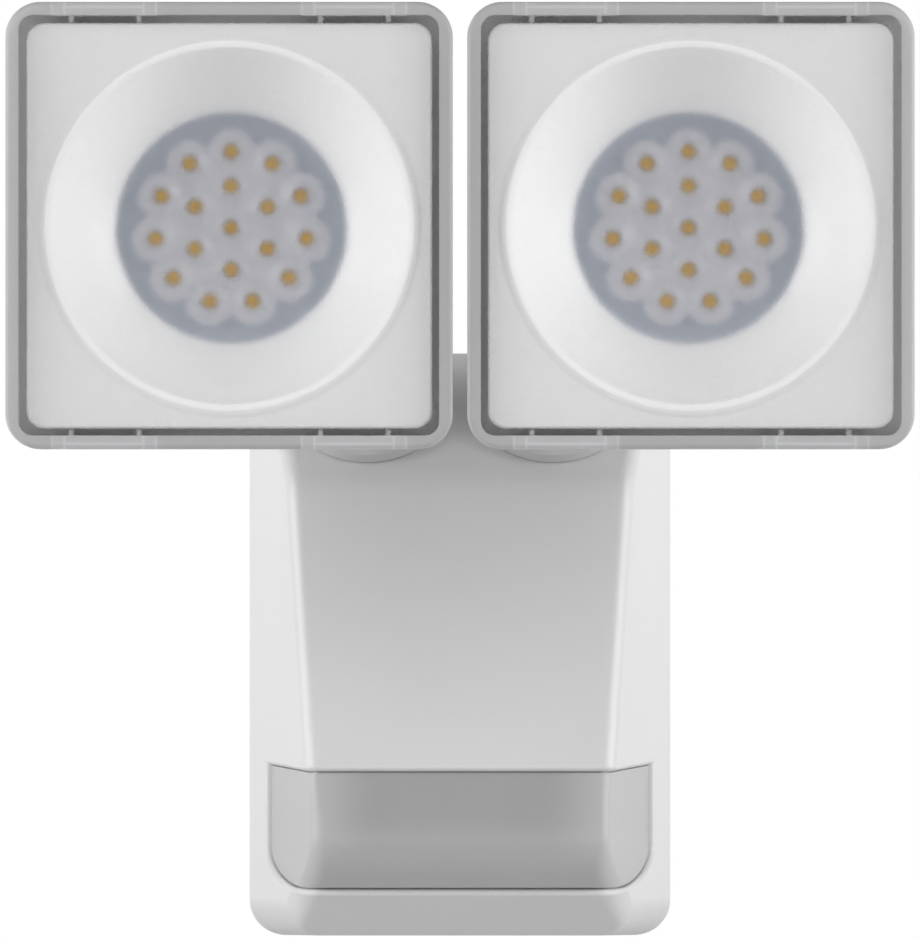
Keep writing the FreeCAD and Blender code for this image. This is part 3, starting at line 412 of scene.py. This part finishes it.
# ---- front covers ----
# Deep frosted covers in translucent polycarbonate, moulded with a fine grain on the inside that
# softens what lies behind. They snap over the clips of the casing.
HEAD_X = 0.0497
HEAD_LEVEL = 0.0930
SKIRT_INNER_HALF = 0.04525
SKIRT_INNER_CORNER = 0.0032
RIM_BLEND = 0.0002
RIM_COVER = 0.84
CLIP_X = 0.0269
NOTCH_HALF_WIDTH = 0.0112
HOOK_HALF_WIDTH = 0.0085
HOOK_LEVEL = 0.0470
EDGE_FADE = 0.0005
# How much the painted highlights on the clip edges lighten the rim.
EDGE_GLINT_STRENGTH = 0.5
FROST_SCALE = 1900.0
GLOW_SHARE = 0.4
PANE_TONE = (0.92, 0.92, 0.93, 1.0)
# The rim's darker tone is painted shade of the skirt and gasket behind it.
RIM_SHADED_TONE = (0.66, 0.66, 0.665, 1.0)

frost = bpy.data.materials.new("cover_frost")
frost.use_nodes = True
frost_nodes = frost.node_tree.nodes
frost_link = frost.node_tree.links.new


def frost_math(operation, first, second=None, clamp=False):
    """One step of sums on the cover's own coordinates."""
    step = frost_nodes.new("ShaderNodeMath")
    step.operation = operation
    step.use_clamp = clamp
    for socket, value in zip(step.inputs, (first, second)):
        if value is None:
            continue
        if isinstance(value, float):
            socket.default_value = value
        else:
            frost_link(value, socket)
    return step.outputs[0]


# How far a point lies outside the inner face of the skirt: the thick rim scatters more light, and its
# darker tone there is painted shade of the skirt and gasket behind it.
frost_place = frost_nodes.new("ShaderNodeTexCoord")
frost_axes = frost_nodes.new("ShaderNodeSeparateXYZ")
frost_link(frost_place.outputs["Object"], frost_axes.inputs[0])
off_middle = frost_math("ABSOLUTE", frost_axes.outputs["X"])
from_side = frost_math("ABSOLUTE", frost_math("SUBTRACT", off_middle, HEAD_X))
from_level = frost_math("ABSOLUTE", frost_math("SUBTRACT", frost_axes.outputs["Z"], HEAD_LEVEL))
over_side = frost_math("SUBTRACT", from_side, SKIRT_INNER_HALF - SKIRT_INNER_CORNER)
over_level = frost_math("SUBTRACT", from_level, SKIRT_INNER_HALF - SKIRT_INNER_CORNER)
corner_side = frost_math("MAXIMUM", over_side, 0.0)
corner_level = frost_math("MAXIMUM", over_level, 0.0)
side_square = frost_math("MULTIPLY", corner_side, corner_side)
level_square = frost_math("MULTIPLY", corner_level, corner_level)
corner_reach = frost_math("SQRT", frost_math("ADD", side_square, level_square))
still_inside = frost_math("MINIMUM", frost_math("MAXIMUM", over_side, over_level), 0.0)
outward = frost_math("ADD", corner_reach, still_inside)
into_rim = frost_math("SUBTRACT", outward, SKIRT_INNER_CORNER - RIM_BLEND / 2)
rim_share = frost_math("DIVIDE", into_rim, RIM_BLEND, clamp=True)

# Painted highlights: the cut edges of the notches for the clips, and of the clips' hooks, are paled
# into thin lines in the upper and lower rim, standing in for light refracted at those edges.
from_clip = frost_math("ABSOLUTE", frost_math("SUBTRACT", from_side, CLIP_X))
in_clip_rim = frost_math("GREATER_THAN", over_level, SKIRT_INNER_CORNER)


def edge_line(distance, place):
    """One on a cut edge, fading to nothing a little way off it."""
    off_edge = frost_math("ABSOLUTE", frost_math("SUBTRACT", distance, place))
    return frost_math("SUBTRACT", 1.0, frost_math("DIVIDE", off_edge, EDGE_FADE), clamp=True)


notch_edge = edge_line(from_clip, NOTCH_HALF_WIDTH)
hook_side = edge_line(from_clip, HOOK_HALF_WIDTH)
within_hook = frost_math("LESS_THAN", from_clip, HOOK_HALF_WIDTH)
hook_front = frost_math("MULTIPLY", edge_line(from_level, HOOK_LEVEL), within_hook)
painted_clip_glints = frost_math("MAXIMUM", notch_edge, frost_math("MAXIMUM", hook_side, hook_front))
painted_clip_glints = frost_math("MULTIPLY", painted_clip_glints, in_clip_rim)
rim_shade_and_glints = frost_math("SUBTRACT", rim_share, frost_math("MULTIPLY", painted_clip_glints, EDGE_GLINT_STRENGTH))

frost_grain = frost_nodes.new("ShaderNodeTexNoise")
frost_grain.inputs["Scale"].default_value = FROST_SCALE
frost_grain.inputs["Detail"].default_value = 2.0
frost_link(frost_place.outputs["Object"], frost_grain.inputs["Vector"])
frost_speck = frost_nodes.new("ShaderNodeMapRange")
frost_speck.inputs["From Min"].default_value = 0.3
frost_speck.inputs["From Max"].default_value = 0.7
frost_speck.inputs["To Min"].default_value = 0.95
frost_speck.inputs["To Max"].default_value = 0.99
frost_link(frost_grain.outputs["Fac"], frost_speck.inputs["Value"])
pane_share = frost_math("SUBTRACT", 1.0, frost_math("MULTIPLY", rim_share, RIM_COVER))
frost_open = frost_math("MULTIPLY", frost_speck.outputs["Result"], pane_share)

frost_skin = frost_nodes["Principled BSDF"]
# The colour: the pane's own tone, the rim darkened by painted shade and the clip edges paled by
# painted highlights.
frost_tone_with_painted_light = frost_nodes.new("ShaderNodeValToRGB")
frost_tone_with_painted_light.color_ramp.elements[0].color = PANE_TONE
frost_tone_with_painted_light.color_ramp.elements[1].color = RIM_SHADED_TONE
frost_link(rim_shade_and_glints, frost_tone_with_painted_light.inputs["Fac"])
frost_link(frost_tone_with_painted_light.outputs["Color"], frost_skin.inputs["Base Color"])
frost_skin.inputs["Roughness"].default_value = 0.3
frost_bump = frost_nodes.new("ShaderNodeBump")
frost_bump.inputs["Strength"].default_value = 0.25
frost_bump.inputs["Distance"].default_value = 0.00002
frost_link(frost_grain.outputs["Fac"], frost_bump.inputs["Height"])
frost_link(frost_bump.outputs["Normal"], frost_skin.inputs["Normal"])
frost_glow = frost_nodes.new("ShaderNodeBsdfTranslucent")
frost_link(frost_tone_with_painted_light.outputs["Color"], frost_glow.inputs["Color"])
frost_body = frost_nodes.new("ShaderNodeMixShader")
frost_body.inputs[0].default_value = GLOW_SHARE
frost_link(frost_skin.outputs[0], frost_body.inputs[1])
frost_link(frost_glow.outputs[0], frost_body.inputs[2])

# Seen directly, the grain blurs what lies behind; lamp light passes straight through.
frost_blur = frost_nodes.new("ShaderNodeBsdfRefraction")
frost_blur.distribution = "BECKMANN"
frost_blur.inputs["Color"].default_value = (1.0, 1.0, 1.0, 1.0)
frost_blur.inputs["Roughness"].default_value = 0.52
frost_blur.inputs["IOR"].default_value = 1.15
frost_ripple = frost_nodes.new("ShaderNodeBump")
frost_ripple.inputs["Strength"].default_value = 1.0
frost_ripple.inputs["Distance"].default_value = 0.00012
frost_link(frost_grain.outputs["Fac"], frost_ripple.inputs["Height"])
frost_link(frost_ripple.outputs["Normal"], frost_blur.inputs["Normal"])
frost_clear = frost_nodes.new("ShaderNodeBsdfTransparent")
frost_path = frost_nodes.new("ShaderNodeLightPath")
frost_pass = frost_nodes.new("ShaderNodeMixShader")
frost_link(frost_path.outputs["Is Camera Ray"], frost_pass.inputs[0])
frost_link(frost_clear.outputs[0], frost_pass.inputs[1])
frost_link(frost_blur.outputs[0], frost_pass.inputs[2])
frost_all = frost_nodes.new("ShaderNodeMixShader")
frost_link(frost_open, frost_all.inputs[0])
frost_link(frost_body.outputs[0], frost_all.inputs[1])
frost_link(frost_pass.outputs[0], frost_all.inputs[2])
frost_link(frost_all.outputs[0], frost_nodes["Material Output"].inputs["Surface"])
for side in ("left", "right"):
    finish_node("front_cover_" + side, frost)

# ---- reflectors ----
# A satin white plate with a round raised bead and a smooth, glossier bowl down to the lamps, moulded
# in one in white plastic. The plate and the outer bead are drawn greyer than the bowl, as painted
# shade.
# Its skirt stands in the casing.
PLATE_DEPTH = 0.1166
PLATE_WALL = 0.0013
PLATE_HALF = 0.04365
PLATE_CORNER = 0.0038
PLATE_EDGE_ROUND = 0.0004
SKIRT_OUTER_HALF = 0.0422
SKIRT_OUTER_CORNER = 0.0025
SKIRT_HOLLOW_HALF = 0.0409
SKIRT_HOLLOW_CORNER = 0.0013
SKIRT_FOOT = 0.0984
BEAD_FOOT = 0.0412
BEAD_HEIGHT = 0.0003
BEAD_LEAN = 0.9
BEAD_STEPS = 12
SATIN_SHADED_BEAD_STEPS = 7
MOUTH_DROP = 0.0002
BOWL_MOUTH = 0.0385
BOWL_FLOOR = 0.0251
BOWL_BULGE = 0.0013
BULGE_SLANT = 0.8
BOWL_STEPS = 16
BOWL_BACK_SPREAD = 0.009
BOWL_BACK_RISE = 0.005
BOARD_DEPTH = 0.0996
ROUND_STEPS = 192
CORNER_STEP = 0.4
EVEN_TURNS = [360.0 * step / ROUND_STEPS for step in range(ROUND_STEPS)]
CORNER_TURNS = [
    45.0 + 90.0 * quarter + CORNER_STEP * step for quarter in range(4) for step in range(-7, 8)
]
ALL_TURNS = sorted({round(turn, 6) for turn in EVEN_TURNS + CORNER_TURNS})
TURNS = [math.radians(turn) for turn in ALL_TURNS]


def square_reach(turn, half, corner):
    """How far out the edge of a square with round corners lies, in the direction of a turn."""
    along = abs(math.cos(turn))
    across = abs(math.sin(turn))
    reach = half / max(along, across)
    flat = half - corner
    if min(along, across) * reach > flat:
        middle = flat * (along + across)
        reach = middle + math.sqrt(corner**2 - 2 * flat**2 + middle**2)
    return reach


def bowl_profile():
    """Radius and depth of the lit face, from the foot of the bowl out over the bead."""
    profile = []
    for step in range(BOWL_STEPS + 1):
        part = step / BOWL_STEPS
        bulge = math.sin(math.pi * part) * BOWL_BULGE
        radius = BOWL_FLOOR + (BOWL_MOUTH - BOWL_FLOOR) * part + bulge
        depth = BOARD_DEPTH + (PLATE_DEPTH - MOUTH_DROP - BOARD_DEPTH) * part - bulge * BULGE_SLANT
        profile.append((radius, depth))
    for step in range(1, BEAD_STEPS + 1):
        part = step / BEAD_STEPS
        radius = BOWL_MOUTH + (BEAD_FOOT - BOWL_MOUTH) * part
        lift = math.sin(math.pi * (part * BEAD_LEAN)) if part < 1 else 0.0
        depth = PLATE_DEPTH - MOUTH_DROP * (1 - part) + BEAD_HEIGHT * lift
        profile.append((radius, depth))
    return profile


def strip_between(form, inner, outer):
    """A strip of faces between two rings of points."""
    faces = []
    for step in range(len(inner)):
        after = (step + 1) % len(inner)
        faces.append(form.faces.new((inner[step], inner[after], outer[after], outer[step])))
    return faces


def soften(form, crease_degrees):
    """Smooth shading, with the edges that bend by more than the crease left sharp."""
    for face in form.faces:
        face.smooth = True
    for edge in form.edges:
        edge.smooth = edge.calc_face_angle(0.0) < math.radians(crease_degrees)


def finished_piece(name, form, finishes):
    """A finished form as a piece of the scene, with its materials."""
    mesh = bpy.data.meshes.new(name)
    form.to_mesh(mesh)
    form.free()
    for finish in finishes:
        mesh.materials.append(finish)
    piece = bpy.data.objects.new(name, mesh)
    bpy.context.collection.objects.link(piece)
    return piece


def make_reflector(side, head_x):
    """The plate, bead and bowl as one closed band of rings, from the lamps out and back behind."""
    form = bmesh.new()
    rings = []

    def ring(reach_of, depth):
        points = []
        for turn in TURNS:
            reach = reach_of(turn)
            x = head_x + reach * math.cos(turn)
            points.append(form.verts.new((x, -depth, HEAD_LEVEL + reach * math.sin(turn))))
        rings.append(points)

    for radius, depth in bowl_profile():
        ring(lambda turn, radius=radius: radius, depth)
    # Rings past these take the plate's greyer tone of painted shade.
    glossy_pale_rings = len(rings) - SATIN_SHADED_BEAD_STEPS
    plate_rear = PLATE_DEPTH - PLATE_WALL
    ring(lambda turn: BEAD_FOOT + PLATE_EDGE_ROUND, PLATE_DEPTH)
    ring(lambda turn: square_reach(turn, PLATE_HALF - PLATE_EDGE_ROUND, PLATE_CORNER), PLATE_DEPTH)
    ring(lambda turn: square_reach(turn, PLATE_HALF, PLATE_CORNER), PLATE_DEPTH - PLATE_EDGE_ROUND)
    ring(lambda turn: square_reach(turn, PLATE_HALF, PLATE_CORNER), plate_rear)
    for half, corner, depth in (
        (SKIRT_OUTER_HALF, SKIRT_OUTER_CORNER, plate_rear),
        (SKIRT_OUTER_HALF, SKIRT_OUTER_CORNER, SKIRT_FOOT),
        (SKIRT_HOLLOW_HALF, SKIRT_HOLLOW_CORNER, SKIRT_FOOT),
        (SKIRT_HOLLOW_HALF, SKIRT_HOLLOW_CORNER, plate_rear),
    ):
        ring(lambda turn, half=half, corner=corner: square_reach(turn, half, corner), depth)
    ring(lambda turn: BOWL_MOUTH + PLATE_WALL, plate_rear)
    ring(lambda turn: BOWL_FLOOR + BOWL_BACK_SPREAD, BOARD_DEPTH + BOWL_BACK_RISE)
    ring(lambda turn: BOWL_FLOOR + PLATE_WALL, BOARD_DEPTH)
    for index, (inner, outer) in enumerate(zip(rings, rings[1:] + rings[:1])):
        for face in strip_between(form, inner, outer):
            face.material_index = int(index >= glossy_pale_rings)
    bmesh.ops.recalc_face_normals(form, faces=form.faces)
    soften(form, crease_degrees=32)
    piece = finished_piece("reflector_moulding_" + side, form, (reflector_white, plate_satin_shaded))
    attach(piece, "head_" + side)
    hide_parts("reflector_" + side)


reflector_white = moulded(
    "reflector_white", (0.94, 0.94, 0.94), roughness=0.30, grain_size=0.0010, grain_depth=0.00001
)
# Greyer than the bowl's white as painted shade; the same white plastic.
plate_satin_shaded = moulded(
    "plate_satin_shaded", (0.76, 0.76, 0.76), roughness=0.42, grain_size=0.0005, grain_depth=0.00001
)
make_reflector("left", -HEAD_X)
make_reflector("right", HEAD_X)

# ---- lamp boards ----
# Round aluminium-cored boards with a bluish white lacquer, screwed to the floor of the casing
# under the bowl. The lamps are soldered to them in rings.
board_lacquer = moulded(
    "board_lacquer", (0.335, 0.365, 0.43), roughness=0.35, grain_size=0.0009, grain_depth=0.00001
)
for side in ("left", "right"):
    finish_node("led_board_" + side, board_lacquer)

# ---- lamps ----
# Small square lamps in pale packages, each with a round well of ochre phosphor. They stand in
# two rings round a middle one, each ring starting at the top.
LAMP_RINGS = ((1, 0.0), (6, 0.0091), (11, 0.0166))
LAMP_HEIGHT = 0.0008
PACKAGE_HALF = 0.0015
PACKAGE_TOP_HALF = 0.00149
PACKAGE_EDGE = 0.0001
WELL_RADIUS = 0.00148
WELL_FLOOR_RADIUS = 0.00144
WELL_SINK = 0.00012
LAMP_STEPS = 24


def lamp_places():
    """Where each lamp stands, sideways and up from the middle of its board."""
    for count, radius in LAMP_RINGS:
        for index in range(count):
            turn = 2 * math.pi * index / count
            yield radius * math.sin(turn), radius * math.cos(turn)


def make_lamps(side, head_x):
    """All the lamps of one head: square packages, each closed by the floor of its round well."""
    form = bmesh.new()
    for x, level in lamp_places():
        place = Vector((head_x + x, 0.0, HEAD_LEVEL + level))
        rings = []
        for reach, depth, is_square in (
            (PACKAGE_HALF, 0.0, True),
            (PACKAGE_HALF, LAMP_HEIGHT - PACKAGE_EDGE, True),
            (PACKAGE_TOP_HALF, LAMP_HEIGHT, True),
            (WELL_RADIUS, LAMP_HEIGHT, False),
            (WELL_FLOOR_RADIUS, LAMP_HEIGHT - WELL_SINK, False),
        ):
            ring = []
            for step in range(LAMP_STEPS):
                turn = 2 * math.pi * (step + 0.5) / LAMP_STEPS
                out = reach / max(abs(math.cos(turn)), abs(math.sin(turn))) if is_square else reach
                offset = Vector((out * math.cos(turn), -(BOARD_DEPTH + depth), out * math.sin(turn)))
                ring.append(form.verts.new(place + offset))
            rings.append(ring)
        for inner, outer in zip(rings, rings[1:]):
            strip_between(form, inner, outer)
        form.faces.new(rings[0])
        well = form.faces.new(rings[-1])
        well.material_index = 1
    bmesh.ops.recalc_face_normals(form, faces=form.faces)
    piece = finished_piece("lamps_" + side, form, (lamp_package, lamp_phosphor))
    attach(piece, "head_" + side)
    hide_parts("led_chips_" + side)


lamp_package = moulded(
    "lamp_package", (0.66, 0.63, 0.56), roughness=0.4, grain_size=0.0003, grain_depth=0.00001
)
lamp_phosphor = moulded(
    "lamp_phosphor", (0.74, 0.42, 0.03), roughness=0.6, grain_size=0.0002, grain_depth=0.00002
)
lamp_phosphor.node_tree.nodes["Principled BSDF"].inputs["Specular IOR Level"].default_value = 0.15
make_lamps("left", -HEAD_X)
make_lamps("right", HEAD_X)

# ---- lens sheets ----
# A clear moulded sheet that lies on the lamps, with a low round dome over each one. Its edge
# runs in lobes round the outer ring of domes.
SHEET_BASE = BOARD_DEPTH + LAMP_HEIGHT
SHEET_WALL = 0.0010
DOME_RADIUS = 0.0046
DOME_HEIGHT = 0.0022
LOBE_RADIUS = 0.0051
CLEAR_RADIUS = 0.0016
# Painted glare: away from the lamps the clear sheet is made partly opaque and white, standing in for
# the board and lamps reflected and magnified in its domes.
GLARE_FULL_RADIUS = 0.0024
CLEAR_COVER = 0.02
GLARE_COVER = 0.44
SHEET_STEPS = 220
SHEET_RINGS = 56


def sheet_edge(turn):
    """How far out the lobed edge lies: the furthest lobe in that direction."""
    count, ring_radius = LAMP_RINGS[-1]
    best = 0.0
    for index in range(count):
        apart = turn - 2 * math.pi * index / count
        sideways = ring_radius * math.sin(apart)
        if abs(sideways) < LOBE_RADIUS and math.cos(apart) > 0:
            best = max(best, ring_radius * math.cos(apart) + math.sqrt(LOBE_RADIUS**2 - sideways**2))
    return best


def sheet_height(x, level):
    """Height of the sheet's front over its flat, under the dome that reaches highest."""
    best = 0.0
    for lamp_x, lamp_level in lamp_places():
        apart = math.hypot(x - lamp_x, level - lamp_level)
        if apart < DOME_RADIUS:
            best = max(best, DOME_HEIGHT * (1 - (apart / DOME_RADIUS) ** 2))
    return best


def sheet_painted_glare(x, level):
    """How much painted glare whitens the clear sheet: none over a lamp, full a little way off it."""
    nearest = min(math.hypot(x - lamp_x, level - lamp_level) for lamp_x, lamp_level in lamp_places())
    return min(max((nearest - CLEAR_RADIUS) / (GLARE_FULL_RADIUS - CLEAR_RADIUS), 0.0), 1.0)


def make_lens_sheet(side, head_x):
    """The sheet as rings from the middle dome out to the lobed edge, closed by a flat foot."""
    form = bmesh.new()
    turns = [2 * math.pi * step / SHEET_STEPS for step in range(SHEET_STEPS)]
    rings = []
    for index in range(1, SHEET_RINGS + 1):
        ring = []
        for turn in turns:
            reach = sheet_edge(turn) * index / SHEET_RINGS
            x = reach * math.sin(turn)
            level = reach * math.cos(turn)
            depth = SHEET_BASE + SHEET_WALL + sheet_height(x, level)
            ring.append(form.verts.new((head_x + x, -depth, HEAD_LEVEL + level)))
        rings.append(ring)
    lower = []
    for turn in turns:
        reach = sheet_edge(turn)
        place = (head_x + reach * math.sin(turn), -SHEET_BASE, HEAD_LEVEL + reach * math.cos(turn))
        lower.append(form.verts.new(place))
    rings.append(lower)
    for inner, outer in zip(rings, rings[1:]):
        strip_between(form, inner, outer)
    top = form.verts.new((head_x, -(SHEET_BASE + SHEET_WALL + DOME_HEIGHT), HEAD_LEVEL))
    for step in range(SHEET_STEPS):
        form.faces.new((rings[0][step], rings[0][(step + 1) % SHEET_STEPS], top))
    foot = form.faces.new(lower)
    foot.material_index = 1
    bmesh.ops.recalc_face_normals(form, faces=form.faces)
    soften(form, crease_degrees=40)
    piece = finished_piece("lens_domes_" + side, form, (lens_clear, lens_foot))
    painted_glare = piece.data.attributes.new("painted_glare", "FLOAT", "POINT")
    for vertex in piece.data.vertices:
        painted_glare.data[vertex.index].value = sheet_painted_glare(vertex.co.x - head_x, vertex.co.z - HEAD_LEVEL)
    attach(piece, "head_" + side)
    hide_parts("lens_sheet_" + side)


lens_clear = moulded(
    "lens_clear", (0.90, 0.88, 0.91), roughness=0.18, grain_size=0.0008, grain_depth=0.00001
)
lens_nodes = lens_clear.node_tree.nodes
lens_link = lens_clear.node_tree.links.new
# The painted glare, stored on the points of the sheet, sets how opaque and white it is.
lens_glare = lens_nodes.new("ShaderNodeAttribute")
lens_glare.attribute_name = "painted_glare"
lens_cover = lens_nodes.new("ShaderNodeMapRange")
lens_cover.inputs["To Min"].default_value = CLEAR_COVER
lens_cover.inputs["To Max"].default_value = GLARE_COVER
lens_link(lens_glare.outputs["Fac"], lens_cover.inputs["Value"])
lens_link(lens_cover.outputs["Result"], lens_nodes["Principled BSDF"].inputs["Alpha"])
lens_foot = moulded(
    "lens_foot", (0.86, 0.86, 0.87), roughness=0.18, grain_size=0.0008, grain_depth=0.00001
)
lens_foot.node_tree.nodes["Principled BSDF"].inputs["Alpha"].default_value = CLEAR_COVER
make_lens_sheet("left", -HEAD_X)
make_lens_sheet("right", HEAD_X)
